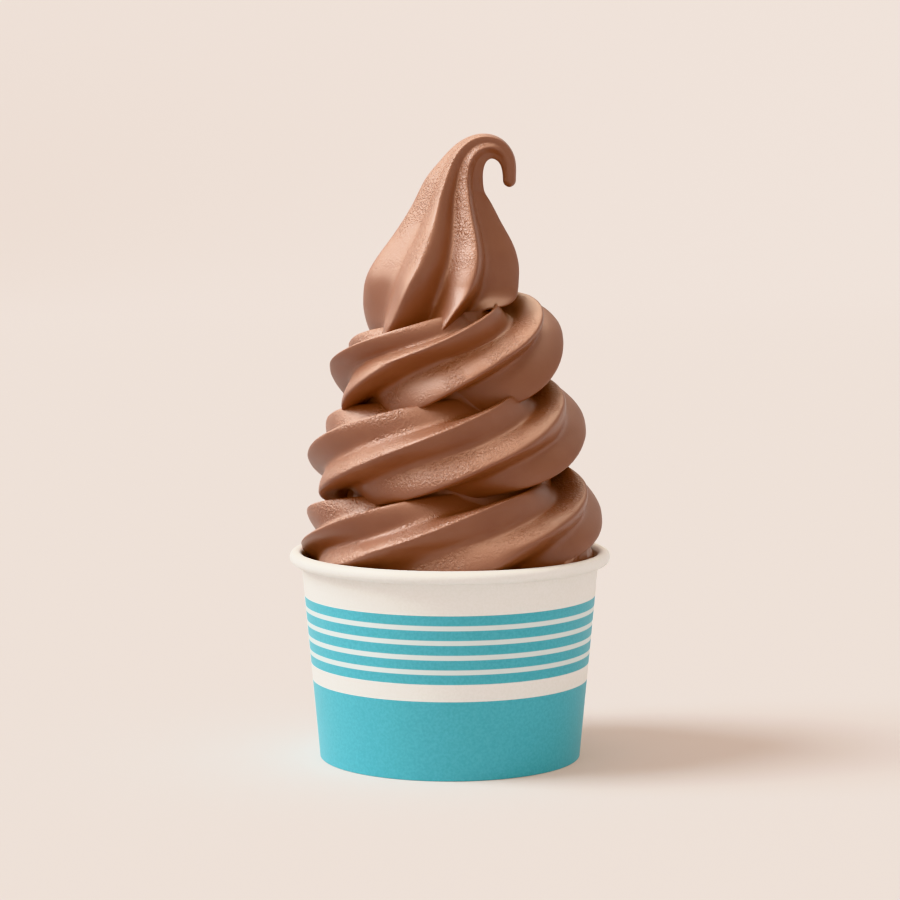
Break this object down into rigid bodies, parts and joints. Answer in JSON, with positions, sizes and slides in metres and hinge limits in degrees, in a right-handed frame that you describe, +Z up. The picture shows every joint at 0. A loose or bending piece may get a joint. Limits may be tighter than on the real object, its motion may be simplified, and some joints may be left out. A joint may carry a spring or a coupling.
{
  "type": "soft serve cup",
  "caption": "Chocolate soft serve in a paper cup: a ridged rope coiled in turns above the rim, ending in a fluted bulb with a curled tip.",
  "frame": {"origin": "on the cup's axis, at the plane the cup stands on", "axes": "+Z up along the cup's axis; -Y faces the viewer's front; the tip curls towards +X"},
  "size_m": [0.096, 0.096, 0.1864],
  "materials": {
    "cup_paper": "coated paper, off-white with printed teal bands, satin",
    "cup_bottom_paper": "coated paper, plain off-white",
    "chocolate_soft_serve": "smooth milk-chocolate soft serve with a soft satin sheen and faint ice wrinkles"
  },
  "bodies": {
    "root": {"cup_wall": "cup_paper", "cup_bottom": "cup_bottom_paper", "soft_serve": "chocolate_soft_serve"}
  },
  "joints": []
}
